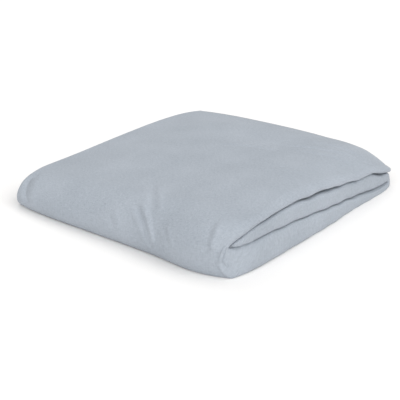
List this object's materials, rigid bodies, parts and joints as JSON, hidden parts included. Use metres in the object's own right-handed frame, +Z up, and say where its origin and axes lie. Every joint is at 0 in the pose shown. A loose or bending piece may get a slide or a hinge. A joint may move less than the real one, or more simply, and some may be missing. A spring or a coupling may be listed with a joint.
{
  "type": "folded flat sheet",
  "caption": "Flat bed sheet folded into a soft square pack, with a smooth wrapped fold at the front and layered folded edges at the side.",
  "frame": {"origin": "centre of the pack's box, at the height of the surface it rests on", "axes": "+Z up through the layers; -Y towards the large wrapped fold at the front; +X towards the side where the smooth folded edges of the panels lie on top of each other; -X towards the hems"},
  "size_m": [0.2814, 0.3006, 0.0535],
  "materials": {
    "sheet_cloth": "matte soft woven cotton, pale grey-blue"
  },
  "bodies": {
    "root": {"sheet": "sheet_cloth"}
  },
  "joints": []
}
